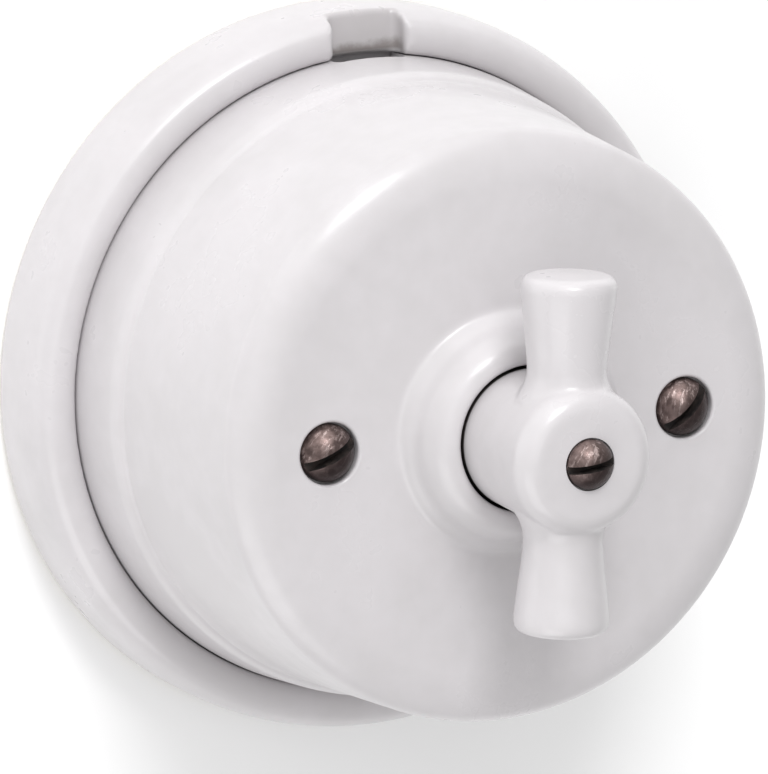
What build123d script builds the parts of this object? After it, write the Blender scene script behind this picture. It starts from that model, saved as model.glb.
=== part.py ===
from build123d import *
import os

os.makedirs("parts", exist_ok=True)

# Surface-mounted porcelain rotary switch. The back of the base lies on the wall plane Y = 0, the
# front looks along -Y and +Z is up. The origin is the centre of the base's back face.
# Heights are distances off the wall, along -Y. All sizes are in millimetres.

# Driving dimensions of the porcelain
base_radius = 38.0
ring_crest_radius = 35.3
ring_crest_height = 9.8
ring_side_height = 3.7
foot_width = 4.2
foot_edge = 0.6
back_hollow = 1.6
channel_height = 4.6
ledge_height = 5.6
ledge_inner_radius = 29.4
island_radius = 25.5
island_height = 9.0
island_edge = 0.6
island_foot = 0.8
crest_round = 1.0
crest_inner_round = 1.2
notch_width = 8.4
notch_depth = 2.4
notch_lip = 0.8
notch_corner = 0.7
mouth_height = 4.3
mouth_corner = 0.8

cover_gap = 0.75
cover_rim_radius = 32.85
cover_rim_edge = 0.5
cover_step_height = 17.0
cover_step_radius = 32.2
cover_step_depth = 0.5
cover_step_round = 1.1
cover_shoulder_radius = 29.9
cover_height = 40.8
cover_edge = 2.0
cover_edge_width = 3.7
cover_wall = 3.0
cover_wall_growth = 0.6
cover_front_wall = 3.8
cover_inside_corner = 2.8
collar_foot_radius = 13.2
collar_height = 4.5
collar_lip_width = 0.5
collar_lip_edge = 0.4
collar_waist = 2.6

# Driving dimensions of the handle
stem_radius = 7.2
stem_gap = 0.4
stem_depth = 2.4
handle_rise = 7.7
hub_front = 5.4
hub_edge = 1.4
handle_reach = 18.1
arm_neck_radius = 3.6
arm_tip_radius = 4.65
arm_root = 1.6
arm_end_edge = 1.2
arm_end_inset = 0.4
arm_swell = 4.2
arm_blend = 0.9

# Driving dimensions of the fastenings
cover_screw_spacing = 39.4
cover_screw_radius = 1.75
cover_screw_head = 3.1
cover_screw_recess = 1.3
knob_screw_radius = 1.5
knob_screw_head = 2.75
knob_screw_recess = 0.6
screw_dome = 1.7
screw_rim = 0.7
slot_width = 0.95
slot_depth = 1.7
recess_play = 0.25
shank_play = 0.15
fixing_circle = 40.0
fixing_hole_radius = 2.25
fixing_head_radius = 4.2
fixing_head_depth = 2.0
fixing_boss_radius = 5.6
centre_boss_radius = 7.0
shank_point = 0.5
cover_screw_bite = 9.0
knob_screw_bite = 8.0
spindle_tip_gap = 3.0
pillar_foot_thread = 7.0
pillar_web = 2.0

# Driving dimensions of the mechanism
spindle_radius = 3.0
running_play = 0.05
flat_width = 4.4
gasket_thickness = 0.8
gasket_play = 0.6
spindle_foot_gap = 0.4
housing_radius = 15.5
housing_bore = 10.2
housing_floor = 2.2
lug_corner = 1.0
lid_thickness = 0.8
strap_thickness = 1.6
bush_neck_radius = 4.4
bush_flange_radius = 6.0
bush_flange = 2.4
bush_nut_flats = 11.0
bush_nut_height = 3.0
bush_end = 1.4
bush_stem_gap = 2.5
flat_lift = 1.0
pillar_flats = 7.0
pillar_clearance = 0.5
mechanism_screw_spacing = 25.6
mechanism_screw_radius = 1.5
mechanism_nut_flats = 5.5
mechanism_nut_height = 2.2
mechanism_nut_inset = 0.2
mechanism_tip_inset = 0.4
rotor_radius = 6.0
air_gap = 0.5
ring_air = 0.4
bridge_cover = 2.1
contact_thickness = 0.8
contact_width = 7.0
contact_gap = 0.3
contact_air = 1.0
contact_end_inset = 0.4
bridge_width = 5.0
bridge_reach = 9.3
bridge_corner = 1.2
cam_flats = 9.0
cam_height = 3.0
cam_corner = 5.7
ring_thickness = 0.8
ring_radius = 5.0
spring_thickness = 0.4
spring_play = 0.05
spring_half_length = 11.0
terminal_reach = 19.6
lug_width = 9.0
lug_reach = 23.6
clamp_side = 7.6
clamp_thickness = 1.0
clamp_corner = 0.8
strap_shoulder = 2.0
small_chamfer = 0.4
groove_depth = 0.6

# Heights of the handle, from the cover's front outwards
cover_inside = cover_height - cover_front_wall
stem_foot = cover_height - stem_depth
handle_height = cover_height + collar_height + handle_rise
hub_height = handle_height + hub_front
collar_bore = stem_radius + stem_gap
collar_lip_radius = collar_bore + collar_lip_width
cover_head_seat = cover_height - cover_screw_recess
knob_head_seat = hub_height - knob_screw_recess
spindle_top = knob_head_seat - spindle_tip_gap
knob_screw_foot = spindle_top - knob_screw_bite

# Heights of the mechanism, from the handle's stem down to the lid
bush_top = stem_foot - bush_stem_gap
nut_top = bush_top - bush_end
strap_top = nut_top - bush_nut_height
lid_top = strap_top - strap_thickness
housing_top = lid_top - lid_thickness
ring_top = lid_top - bush_flange - ring_air
cam_top = ring_top - ring_thickness
rotor_top = cam_top - cam_height
bridge_foot = rotor_top - bridge_cover - contact_thickness
contact_top = bridge_foot - contact_gap
contact_foot = contact_top - contact_thickness
flat_foot = bush_top + flat_lift

# Heights of the mechanism, from the base up
gasket_top = island_height + gasket_thickness
floor_top = gasket_top + housing_floor
housing_depth = housing_top - gasket_top
rotor_foot = floor_top + air_gap
rotor_height = rotor_top - rotor_foot
spindle_foot = gasket_top + spindle_foot_gap
terminal_screw_foot = floor_top
pillar_top = cover_inside - pillar_clearance
cover_screw_foot = pillar_top - cover_screw_bite
pillar_web_foot = island_height + pillar_foot_thread

# Sizes across, from the pieces that meet there
groove_radius = spindle_radius - groove_depth
spring_centre = cam_flats / 2 + spring_play + spring_thickness / 2
contact_inner_reach = rotor_radius + contact_air
contact_outer_reach = lug_reach - contact_end_inset
arm_end_radius = arm_tip_radius - arm_end_inset
arm_neck_reach = stem_radius + arm_root
inside_radius = cover_shoulder_radius - cover_wall
ring_inner_radius = cover_rim_radius + cover_gap
notch_floor = ring_crest_height - notch_depth
cover_screw_x = cover_screw_spacing / 2
mechanism_screw_x = mechanism_screw_spacing / 2
strap_end_width = 2 * (housing_radius - mechanism_screw_x)

# The wall plane, with local z off the wall, and the plane of the turned profiles
wall = Plane(origin=(0, 0, 0), x_dir=(1, 0, 0), z_dir=(0, -1, 0))
turning = Plane(origin=(0, 0, 0), x_dir=(1, 0, 0), z_dir=(0, 0, -1))


def at(height):
    """Plane parallel to the wall at a height off it: local x is X and local y is Z."""
    return wall.offset(height)


def turning_at(x, z):
    """Plane for a profile turned about a screw's axis: local x is the radius, local y the height."""
    return Plane(origin=(x, 0, z), x_dir=(1, 0, 0), z_dir=(0, 0, -1))


def dome_screws(places, turns, seat, head_radius, shank_radius, shank_foot):
    """Slotted dome-head screws on one seat height, each slot turned by its own angle."""
    head_top = seat + screw_rim + screw_dome
    dome_radius = (head_radius ** 2 + screw_dome ** 2) / (2 * screw_dome)
    with BuildPart() as screws:
        for (x, z), turn in zip(places, turns):
            with BuildSketch(turning_at(x, z)):
                with BuildLine():
                    Polyline((0, head_top), (0, shank_foot),
                             (shank_radius - shank_point * 0.6, shank_foot),
                             (shank_radius, shank_foot + shank_point), (shank_radius, seat),
                             (head_radius, seat), (head_radius, seat + screw_rim))
                    RadiusArc((head_radius, seat + screw_rim), (0, head_top), -dome_radius)
                make_face()
            revolve(axis=Axis((x, 0, z), (0, 1, 0)))
            with BuildSketch(at(head_top - slot_depth)):
                with Locations((x, z)):
                    Rectangle(4 * head_radius, slot_width, rotation=turn)
            extrude(amount=2 * slot_depth, mode=Mode.SUBTRACT)
    return screws


cover_slot_turns = (21, 40)
mechanism_slot_turns = (75, 110)
terminal_slot_turns = (10, -30)
knob_slot_turn = 5
cover_screw_places = [(-cover_screw_x, 0), (cover_screw_x, 0)]
mechanism_screw_places = [(-mechanism_screw_x, 0), (mechanism_screw_x, 0)]
terminal_places = [(0, terminal_reach), (0, -terminal_reach)]
fixing_angle = 45


# Base: a turned porcelain dish with a raised rim, an island for the mechanism and a cable notch
with BuildPart() as base:
    with BuildSketch(turning):
        with BuildLine():
            Polyline((0, island_height), (0, back_hollow),
                     (base_radius - foot_width - back_hollow, back_hollow),
                     (base_radius - foot_width, 0), (base_radius - foot_edge, 0),
                     (base_radius, foot_edge), (base_radius, ring_side_height))
            Bezier((base_radius, ring_side_height), (base_radius, ring_crest_height - crest_round),
                   (ring_crest_radius + crest_round * 1.5, ring_crest_height),
                   (ring_crest_radius, ring_crest_height))
            Bezier((ring_crest_radius, ring_crest_height),
                   (ring_crest_radius - crest_inner_round * 0.75, ring_crest_height),
                   (ring_inner_radius, ring_crest_height - crest_inner_round / 3),
                   (ring_inner_radius, ring_crest_height - crest_inner_round))
            Polyline((ring_inner_radius, ring_crest_height - crest_inner_round),
                     (ring_inner_radius, ledge_height),
                     (ledge_inner_radius, ledge_height), (ledge_inner_radius, channel_height),
                     (island_radius + island_foot, channel_height),
                     (island_radius, channel_height + island_foot),
                     (island_radius, island_height - island_edge),
                     (island_radius - island_edge, island_height), (0, island_height))
        make_face()
    revolve(axis=Axis.Y)
    with BuildSketch(at(0)):
        with PolarLocations(fixing_circle / 2, 2, start_angle=fixing_angle):
            Circle(fixing_boss_radius)
        Circle(centre_boss_radius)
    extrude(amount=back_hollow)

    # Cable notch: a groove across the rim, its lips rounded into the crest
    notch_plane = Plane(origin=(0, -notch_floor, (ledge_inner_radius + ring_inner_radius) / 2),
                        x_dir=(-1, 0, 0), z_dir=(0, 0, 1))
    wall_x = notch_width / 2
    with BuildSketch(notch_plane):
        with BuildLine():
            Line((0, 0), (wall_x - notch_corner, 0))
            RadiusArc((wall_x - notch_corner, 0), (wall_x, notch_corner), -notch_corner)
            Line((wall_x, notch_corner), (wall_x, notch_depth - notch_lip))
            RadiusArc((wall_x, notch_depth - notch_lip), (wall_x + notch_lip, notch_depth), notch_lip)
            Polyline((wall_x + notch_lip, notch_depth), (wall_x + notch_lip, 2 * notch_depth),
                     (0, 2 * notch_depth), (0, 0))
        make_face()
        mirror(about=Plane.YZ)
    extrude(amount=base_radius, mode=Mode.SUBTRACT)

    # Holes: wall fixings with sunk heads, pillar and mechanism screws from behind
    with BuildSketch(at(0)):
        with PolarLocations(fixing_circle / 2, 2, start_angle=fixing_angle):
            Circle(fixing_hole_radius)
        with Locations(cover_screw_places):
            Circle(cover_screw_radius + shank_play)
        with Locations(mechanism_screw_places):
            Circle(mechanism_screw_radius + shank_play)
    extrude(amount=island_height, mode=Mode.SUBTRACT)
    with BuildSketch(at(island_height - fixing_head_depth)):
        with PolarLocations(fixing_circle / 2, 2, start_angle=fixing_angle):
            Circle(fixing_head_radius)
    extrude(amount=fixing_head_depth, mode=Mode.SUBTRACT)
    with BuildSketch(at(back_hollow)):
        with Locations(cover_screw_places):
            Circle(cover_screw_head + recess_play)
        with Locations(mechanism_screw_places):
            RegularPolygon(mechanism_nut_flats / 2 + recess_play, 6, major_radius=False)
    extrude(amount=mechanism_nut_height, mode=Mode.SUBTRACT)
base.part.label = "base"
export_step(base.part, "parts/base.step")


# Cover: a turned porcelain cap with a banded foot, rounded shoulder and a bell-shaped collar
with BuildPart() as cover:
    with BuildSketch(turning):
        with BuildLine():
            Polyline((cover_rim_radius - cover_wall, ledge_height),
                     (cover_rim_radius - cover_rim_edge, ledge_height),
                     (cover_rim_radius, ledge_height + cover_rim_edge),
                     (cover_step_radius, cover_step_height))
            Bezier((cover_step_radius, cover_step_height),
                   (cover_step_radius, cover_step_height + cover_step_round / 2),
                   (cover_step_radius - cover_step_depth, cover_step_height + cover_step_round / 3),
                   (cover_step_radius - cover_step_depth, cover_step_height + cover_step_round))
            Line((cover_step_radius - cover_step_depth, cover_step_height + cover_step_round),
                 (cover_shoulder_radius, cover_height - cover_edge))
            Bezier((cover_shoulder_radius, cover_height - cover_edge),
                   (cover_shoulder_radius - cover_edge * 0.08, cover_height - cover_edge * 0.4),
                   (cover_shoulder_radius - cover_edge_width * 0.4, cover_height),
                   (cover_shoulder_radius - cover_edge_width, cover_height))
            Line((cover_shoulder_radius - cover_edge_width, cover_height),
                 (collar_foot_radius, cover_height))
            Bezier((collar_foot_radius, cover_height),
                   (collar_foot_radius - collar_waist * 0.65, cover_height),
                   (collar_foot_radius - collar_waist * 0.85, cover_height + collar_height * 0.16),
                   (collar_foot_radius - collar_waist, cover_height + collar_height * 0.42))
            Bezier((collar_foot_radius - collar_waist, cover_height + collar_height * 0.42),
                   (collar_foot_radius - collar_waist * 1.23, cover_height + collar_height * 0.82),
                   (collar_lip_radius + collar_lip_width * 3, cover_height + collar_height),
                   (collar_lip_radius, cover_height + collar_height))
            Polyline((collar_lip_radius, cover_height + collar_height),
                     (collar_bore, cover_height + collar_height - collar_lip_edge),
                     (collar_bore, cover_inside), (inside_radius - cover_inside_corner, cover_inside))
            Bezier((inside_radius - cover_inside_corner, cover_inside),
                   (inside_radius - cover_inside_corner * 0.3, cover_inside),
                   (inside_radius, cover_inside - cover_inside_corner * 0.3),
                   (inside_radius, cover_inside - cover_inside_corner))
            Polyline((inside_radius, cover_inside - cover_inside_corner),
                     (cover_step_radius - cover_wall - cover_wall_growth, cover_step_height),
                     (cover_rim_radius - cover_wall, ledge_height))
        make_face()
    revolve(axis=Axis.Y)
    with BuildSketch(at(0)):
        with Locations(cover_screw_places):
            Circle(cover_screw_radius + shank_play)
    extrude(amount=cover_height + 1, mode=Mode.SUBTRACT)
    with BuildSketch(at(cover_head_seat)):
        with Locations(cover_screw_places):
            Circle(cover_screw_head + recess_play)
    extrude(amount=cover_screw_recess + 1, mode=Mode.SUBTRACT)

    # Cable mouth in the foot of the cover, over the notch in the base
    with BuildSketch(Plane(origin=(0, 0, ring_inner_radius), x_dir=(-1, 0, 0), z_dir=(0, 0, 1))):
        with Locations((0, ledge_height)):
            RectangleRounded(notch_width, 2 * mouth_height, mouth_corner)
    extrude(amount=-2 * cover_wall, mode=Mode.SUBTRACT)
cover.part.label = "cover"
export_step(cover.part, "parts/cover.step")


# Brass pillars that take the cover screws, held by screws from the back of the base
with BuildPart() as pillars:
    with BuildSketch(at(island_height)):
        with Locations(cover_screw_places):
            RegularPolygon(pillar_flats / 2, 6, major_radius=False)
            Circle(cover_screw_radius, mode=Mode.SUBTRACT)
    extrude(amount=pillar_top - island_height)
    with BuildSketch(at(pillar_web_foot)):
        with Locations(cover_screw_places):
            Circle(cover_screw_radius)
    extrude(amount=pillar_web)
pillars.part.label = "pillars"
export_step(pillars.part, "parts/pillars.step")

with BuildPart() as pillar_screws:
    for x, z in cover_screw_places:
        with BuildSketch(turning_at(x, z)):
            with BuildLine():
                Polyline((0, back_hollow), (cover_screw_head, back_hollow),
                         (cover_screw_head, back_hollow + mechanism_nut_height),
                         (cover_screw_radius, back_hollow + mechanism_nut_height),
                         (cover_screw_radius, pillar_web_foot), (0, pillar_web_foot),
                         (0, back_hollow))
            make_face()
        revolve(axis=Axis((x, 0, z), (0, 1, 0)))
        with BuildSketch(at(back_hollow)):
            with Locations((x, z)):
                Rectangle(4 * cover_screw_head, slot_width, rotation=fixing_angle)
        extrude(amount=slot_depth * 0.6, mode=Mode.SUBTRACT)
pillar_screws.part.label = "pillar_screws"
export_step(pillar_screws.part, "parts/pillar_screws.step")

cover_screws = dome_screws(cover_screw_places, cover_slot_turns, cover_head_seat,
                           cover_screw_head, cover_screw_radius, cover_screw_foot)
cover_screws.part.label = "cover_screws"
export_step(cover_screws.part, "parts/cover_screws.step")


# Insulating disc between the base and the mechanism's housing
with BuildPart() as gasket:
    with BuildSketch(at(island_height)):
        Circle(housing_radius)
        Circle(spindle_radius + gasket_play, mode=Mode.SUBTRACT)
        with Locations(mechanism_screw_places):
            Circle(mechanism_screw_radius, mode=Mode.SUBTRACT)
    extrude(amount=gasket_thickness)
gasket.part.label = "gasket"
export_step(gasket.part, "parts/gasket.step")


# Moulded housing: a cup with a pivot bore, two terminal lugs, contact slots and spring slots
with BuildPart() as housing:
    with BuildSketch(at(gasket_top)):
        Circle(housing_radius)
    extrude(amount=housing_depth)
    with BuildSketch(at(gasket_top)):
        Rectangle(lug_width, 2 * lug_reach)
    extrude(amount=contact_foot - gasket_top)
    fillet(housing.edges().filter_by(Axis.Y).filter_by(
        lambda edge: abs(edge.center().Z) > housing_radius + lug_corner), radius=lug_corner)
    with BuildSketch(at(floor_top)):
        Circle(housing_bore)
    extrude(amount=housing_depth, mode=Mode.SUBTRACT)
    with BuildSketch(at(gasket_top)):
        Circle(spindle_radius + running_play)
        with Locations(mechanism_screw_places):
            Circle(mechanism_screw_radius)
    extrude(amount=housing_depth, mode=Mode.SUBTRACT)
    with BuildSketch(at(terminal_screw_foot)):
        with Locations(terminal_places):
            Circle(cover_screw_radius)
    extrude(amount=contact_foot - terminal_screw_foot, mode=Mode.SUBTRACT)
    with BuildSketch(at(contact_foot)):
        Rectangle(contact_width, 2 * lug_reach)
    extrude(amount=contact_thickness, mode=Mode.SUBTRACT)
    with BuildSketch(at(rotor_top)):
        with Locations((0, spring_centre), (0, -spring_centre)):
            Rectangle(2 * spring_half_length, spring_thickness)
    extrude(amount=housing_depth, mode=Mode.SUBTRACT)
housing.part.label = "housing"
export_step(housing.part, "parts/housing.step")


# Fixed contacts: strips that run from inside the housing out onto the terminal lugs
with BuildPart() as contacts:
    with BuildSketch(at(contact_foot)):
        for side in (1, -1):
            with Locations((0, side * (contact_inner_reach + contact_outer_reach) / 2)):
                Rectangle(contact_width, contact_outer_reach - contact_inner_reach)
        with Locations(terminal_places):
            Circle(cover_screw_radius, mode=Mode.SUBTRACT)
    extrude(amount=contact_thickness)
contacts.part.label = "contacts"
export_step(contacts.part, "parts/contacts.step")

with BuildPart() as clamps:
    with BuildSketch(at(contact_top)):
        with Locations(terminal_places):
            RectangleRounded(clamp_side, clamp_side, clamp_corner)
            Circle(cover_screw_radius, mode=Mode.SUBTRACT)
    extrude(amount=clamp_thickness)
clamps.part.label = "clamps"
export_step(clamps.part, "parts/clamps.step")

terminal_screws = dome_screws(terminal_places, terminal_slot_turns, contact_top + clamp_thickness,
                              cover_screw_head, cover_screw_radius, terminal_screw_foot)
terminal_screws.part.label = "terminal_screws"
export_step(terminal_screws.part, "parts/terminal_screws.step")


# Lid and strap that close the housing, with the screws and nuts that hold them to the base
with BuildPart() as housing_lid:
    with BuildSketch(at(housing_top)):
        Circle(housing_radius)
        Circle(bush_flange_radius, mode=Mode.SUBTRACT)
        with Locations(mechanism_screw_places):
            Circle(mechanism_screw_radius, mode=Mode.SUBTRACT)
    extrude(amount=lid_thickness)
housing_lid.part.label = "housing_lid"
export_step(housing_lid.part, "parts/housing_lid.step")

with BuildPart() as strap:
    with BuildSketch(at(lid_top)):
        SlotCenterToCenter(mechanism_screw_spacing, strap_end_width)
        Circle(bush_nut_flats / 2 + strap_shoulder)
        Circle(bush_neck_radius, mode=Mode.SUBTRACT)
        with Locations(mechanism_screw_places):
            Circle(mechanism_screw_radius, mode=Mode.SUBTRACT)
    extrude(amount=strap_thickness)
strap.part.label = "strap"
export_step(strap.part, "parts/strap.step")

mechanism_screws = dome_screws(mechanism_screw_places, mechanism_slot_turns, strap_top,
                               knob_screw_head, mechanism_screw_radius, back_hollow + mechanism_tip_inset)
mechanism_screws.part.label = "mechanism_screws"
export_step(mechanism_screws.part, "parts/mechanism_screws.step")

with BuildPart() as mechanism_nuts:
    with BuildSketch(at(back_hollow + mechanism_nut_inset)):
        with Locations(mechanism_screw_places):
            RegularPolygon(mechanism_nut_flats / 2, 6, major_radius=False)
            Circle(mechanism_screw_radius, mode=Mode.SUBTRACT)
    extrude(amount=mechanism_nut_height - mechanism_nut_inset)
mechanism_nuts.part.label = "mechanism_nuts"
export_step(mechanism_nuts.part, "parts/mechanism_nuts.step")


# Bush that guides the spindle, clamped to the strap by a hexagon nut
with BuildPart() as bush:
    with BuildSketch(at(lid_top - bush_flange)):
        Circle(bush_flange_radius)
    extrude(amount=bush_flange)
    with BuildSketch(at(lid_top)):
        Circle(bush_neck_radius)
    extrude(amount=bush_top - lid_top)
    chamfer(bush.faces().sort_by(Axis.Y)[0].edges(), length=small_chamfer)
    with BuildSketch(at(lid_top - bush_flange)):
        Circle(spindle_radius + running_play)
    extrude(amount=bush_top, mode=Mode.SUBTRACT)
bush.part.label = "bush"
export_step(bush.part, "parts/bush.step")

with BuildPart() as bush_nut:
    with BuildSketch(at(strap_top)):
        RegularPolygon(bush_nut_flats / 2, 6, major_radius=False)
    extrude(amount=bush_nut_height)
    chamfer(bush_nut.edges().filter_by(Axis.Y), length=small_chamfer)
    with BuildSketch(at(strap_top)):
        Circle(bush_neck_radius)
    extrude(amount=bush_nut_height, mode=Mode.SUBTRACT)
bush_nut.part.label = "bush_nut"
export_step(bush_nut.part, "parts/bush_nut.step")


# Leaf springs that press on the cam's flats and hold the handle at each quarter turn
with BuildPart() as detent_springs:
    with BuildSketch(at(rotor_top)):
        with Locations((0, spring_centre), (0, -spring_centre)):
            Rectangle(2 * spring_half_length, spring_thickness)
    extrude(amount=cam_height)
detent_springs.part.label = "detent_springs"
export_step(detent_springs.part, "parts/detent_springs.step")


# Spindle: a round rod with two flats under the handle, a ring groove and a tapped end
with BuildPart() as spindle:
    with BuildSketch(at(spindle_foot)):
        Circle(spindle_radius)
    extrude(amount=spindle_top - spindle_foot)
    chamfer(spindle.edges().filter_by(GeomType.CIRCLE), length=small_chamfer)
    with BuildSketch(at(flat_foot)):
        Circle(2 * spindle_radius)
        Rectangle(4 * spindle_radius, flat_width, mode=Mode.SUBTRACT)
    extrude(amount=spindle_top - flat_foot, mode=Mode.SUBTRACT)
    with BuildSketch(at(cam_top)):
        Circle(2 * spindle_radius)
        Circle(groove_radius, mode=Mode.SUBTRACT)
    extrude(amount=ring_thickness, mode=Mode.SUBTRACT)
    with BuildSketch(at(knob_screw_foot)):
        Circle(knob_screw_radius)
    extrude(amount=spindle_top, mode=Mode.SUBTRACT)
spindle.part.label = "spindle"
export_step(spindle.part, "parts/spindle.step")

with BuildPart() as spindle_ring:
    with BuildSketch(at(cam_top)):
        Circle(ring_radius)
        Circle(groove_radius, mode=Mode.SUBTRACT)
        with Locations((0, -ring_radius)):
            Rectangle(2 * groove_radius * 0.8, 2 * ring_radius, mode=Mode.SUBTRACT)
    extrude(amount=ring_thickness)
spindle_ring.part.label = "spindle_ring"
export_step(spindle_ring.part, "parts/spindle_ring.step")


# Rotor, bridging contact and detent cam, all turned by the spindle
with BuildPart() as rotor:
    with BuildSketch(at(rotor_foot)):
        Circle(rotor_radius)
        Circle(spindle_radius, mode=Mode.SUBTRACT)
    extrude(amount=rotor_height)
    with BuildSketch(at(bridge_foot)):
        Rectangle(bridge_width, 2 * bridge_reach)
    extrude(amount=contact_thickness, mode=Mode.SUBTRACT)
rotor.part.label = "rotor"
export_step(rotor.part, "parts/rotor.step")

with BuildPart() as bridge:
    with BuildSketch(at(bridge_foot)):
        Rectangle(bridge_width, 2 * bridge_reach)
        Circle(spindle_radius, mode=Mode.SUBTRACT)
    extrude(amount=contact_thickness)
    fillet(bridge.edges().filter_by(Axis.Y).filter_by(
        lambda edge: abs(edge.center().Z) > rotor_radius), radius=bridge_corner)
bridge.part.label = "bridge"
export_step(bridge.part, "parts/bridge.step")

with BuildPart() as cam:
    with BuildSketch(at(rotor_top)):
        Rectangle(cam_flats, cam_flats)
        Circle(cam_corner, mode=Mode.INTERSECT)
        Circle(spindle_radius, mode=Mode.SUBTRACT)
    extrude(amount=cam_height)
cam.part.label = "cam"
export_step(cam.part, "parts/cam.step")


# Handle: a turned stem and hub with two flared arms, bored for the spindle's flats
with BuildPart() as knob:
    with BuildSketch(turning):
        with BuildLine():
            Polyline((0, hub_height), (0, stem_foot), (stem_radius - small_chamfer, stem_foot),
                     (stem_radius, stem_foot + small_chamfer), (stem_radius, hub_height - hub_edge))
            Bezier((stem_radius, hub_height - hub_edge), (stem_radius, hub_height - hub_edge * 0.4),
                   (stem_radius - hub_edge * 0.4, hub_height), (stem_radius - hub_edge, hub_height))
            Line((stem_radius - hub_edge, hub_height), (0, hub_height))
        make_face()
    revolve(axis=Axis.Y)
    with BuildSketch(Plane(origin=(0, -handle_height, 0), x_dir=(1, 0, 0), z_dir=(0, -1, 0))):
        with BuildLine():
            Line((0, -handle_reach), (arm_end_radius - 0.8, -handle_reach + 0.25))
            Bezier((arm_end_radius - 0.8, -handle_reach + 0.25),
                   (arm_end_radius + 0.1, -handle_reach + 0.3),
                   (arm_tip_radius, -handle_reach + arm_end_edge * 0.7),
                   (arm_tip_radius, -handle_reach + arm_end_edge * 1.3))
            Bezier((arm_tip_radius, -handle_reach + arm_end_edge * 1.3),
                   (arm_tip_radius - 0.2, -handle_reach + arm_swell),
                   (arm_neck_radius, -arm_neck_reach - 2.2),
                   (arm_neck_radius, -arm_neck_reach))
            Bezier((arm_neck_radius, -arm_neck_reach),
                   (arm_neck_radius, -arm_neck_reach + arm_blend * 0.8),
                   (arm_neck_radius + arm_blend * 0.3, -arm_neck_reach + arm_blend * 1.5),
                   (arm_neck_radius + arm_blend, -arm_neck_reach + arm_blend * 2))
            Polyline((arm_neck_radius + arm_blend, -arm_neck_reach + arm_blend * 2),
                     (arm_neck_radius, -arm_neck_reach + arm_blend * 3), (arm_neck_radius, 0), (0, 0))
            Line((0, 0), (0, -handle_reach))
        make_face()
        mirror(about=Plane.XZ)
    revolve(axis=Axis((0, -handle_height, 0), (0, 0, 1)))
    with BuildSketch(at(stem_foot)):
        Circle(spindle_radius)
        Rectangle(4 * spindle_radius, flat_width, mode=Mode.INTERSECT)
    extrude(amount=spindle_top - stem_foot, mode=Mode.SUBTRACT)
    with BuildSketch(at(stem_foot)):
        Circle(knob_screw_radius)
    extrude(amount=hub_height - stem_foot, mode=Mode.SUBTRACT)
    with BuildSketch(at(knob_head_seat)):
        Circle(knob_screw_head + recess_play)
    extrude(amount=knob_screw_recess, mode=Mode.SUBTRACT)
knob.part.label = "knob"
export_step(knob.part, "parts/knob.step")

knob_screw = dome_screws([(0, 0)], [knob_slot_turn], knob_head_seat,
                         knob_screw_head, knob_screw_radius, knob_screw_foot)
knob_screw.part.label = "knob_screw"
export_step(knob_screw.part, "parts/knob_screw.step")
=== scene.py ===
import bpy
import bmesh
from math import atan, cos, pi, radians, sin, sqrt
from mathutils import Matrix, Vector


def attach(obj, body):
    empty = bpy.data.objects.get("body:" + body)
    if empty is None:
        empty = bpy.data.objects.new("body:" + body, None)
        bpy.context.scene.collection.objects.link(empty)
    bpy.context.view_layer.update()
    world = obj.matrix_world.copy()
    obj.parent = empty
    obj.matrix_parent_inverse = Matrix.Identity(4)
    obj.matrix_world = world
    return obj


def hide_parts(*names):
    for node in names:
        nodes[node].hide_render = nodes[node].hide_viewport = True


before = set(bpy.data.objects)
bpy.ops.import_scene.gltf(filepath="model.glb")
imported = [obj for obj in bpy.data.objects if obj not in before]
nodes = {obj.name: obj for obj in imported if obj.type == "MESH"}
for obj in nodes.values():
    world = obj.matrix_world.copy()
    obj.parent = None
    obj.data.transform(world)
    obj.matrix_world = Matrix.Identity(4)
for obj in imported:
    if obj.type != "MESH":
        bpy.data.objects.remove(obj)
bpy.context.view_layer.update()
print("frame loaded:", len(nodes), "nodes")

mm = 0.001
wallAxis = (0, 1, 0)
past = 1.0  # how far a cutter reaches past the surface it cuts, in mm


# General modelling helpers

def nothingSelected():
    if bpy.context.object and bpy.context.object.mode != "OBJECT":
        bpy.ops.object.mode_set(mode="OBJECT")
    bpy.ops.object.select_all(action="DESELECT")


def pickOnly(piece):
    nothingSelected()
    piece.hide_set(False)
    piece.select_set(True)
    bpy.context.view_layer.objects.active = piece


def applyModifiers(piece):
    pickOnly(piece)
    for modifier in list(piece.modifiers):
        bpy.ops.object.modifier_apply(modifier=modifier.name)


def applyPlace():
    bpy.ops.object.transform_apply(location=True, rotation=True, scale=True)


def bezierCurve(p0, p1, p2, p3, steps):
    # points along a curve with two handles, without its first point
    points = []
    for i in range(1, steps + 1):
        t = i / steps
        a, b, c, d = (1 - t) ** 3, 3 * t * (1 - t) ** 2, 3 * t * t * (1 - t), t ** 3
        points.append((a * p0[0] + b * p1[0] + c * p2[0] + d * p3[0],
                       a * p0[1] + b * p1[1] + c * p2[1] + d * p3[1]))
    return points


def softCurve(start, end, handles, steps):
    # a curve whose two handles are given as steps away from its own ends
    leave, arrive = handles
    return bezierCurve(start, (start[0] + leave[0], start[1] + leave[1]),
                       (end[0] + arrive[0], end[1] + arrive[1]), end, steps)


def outlineFrom(*stretches):
    # joins points, given singly or in lists, to one outline
    outline = []
    for stretch in stretches:
        outline.extend(stretch if isinstance(stretch, list) else [stretch])
    return outline


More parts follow.
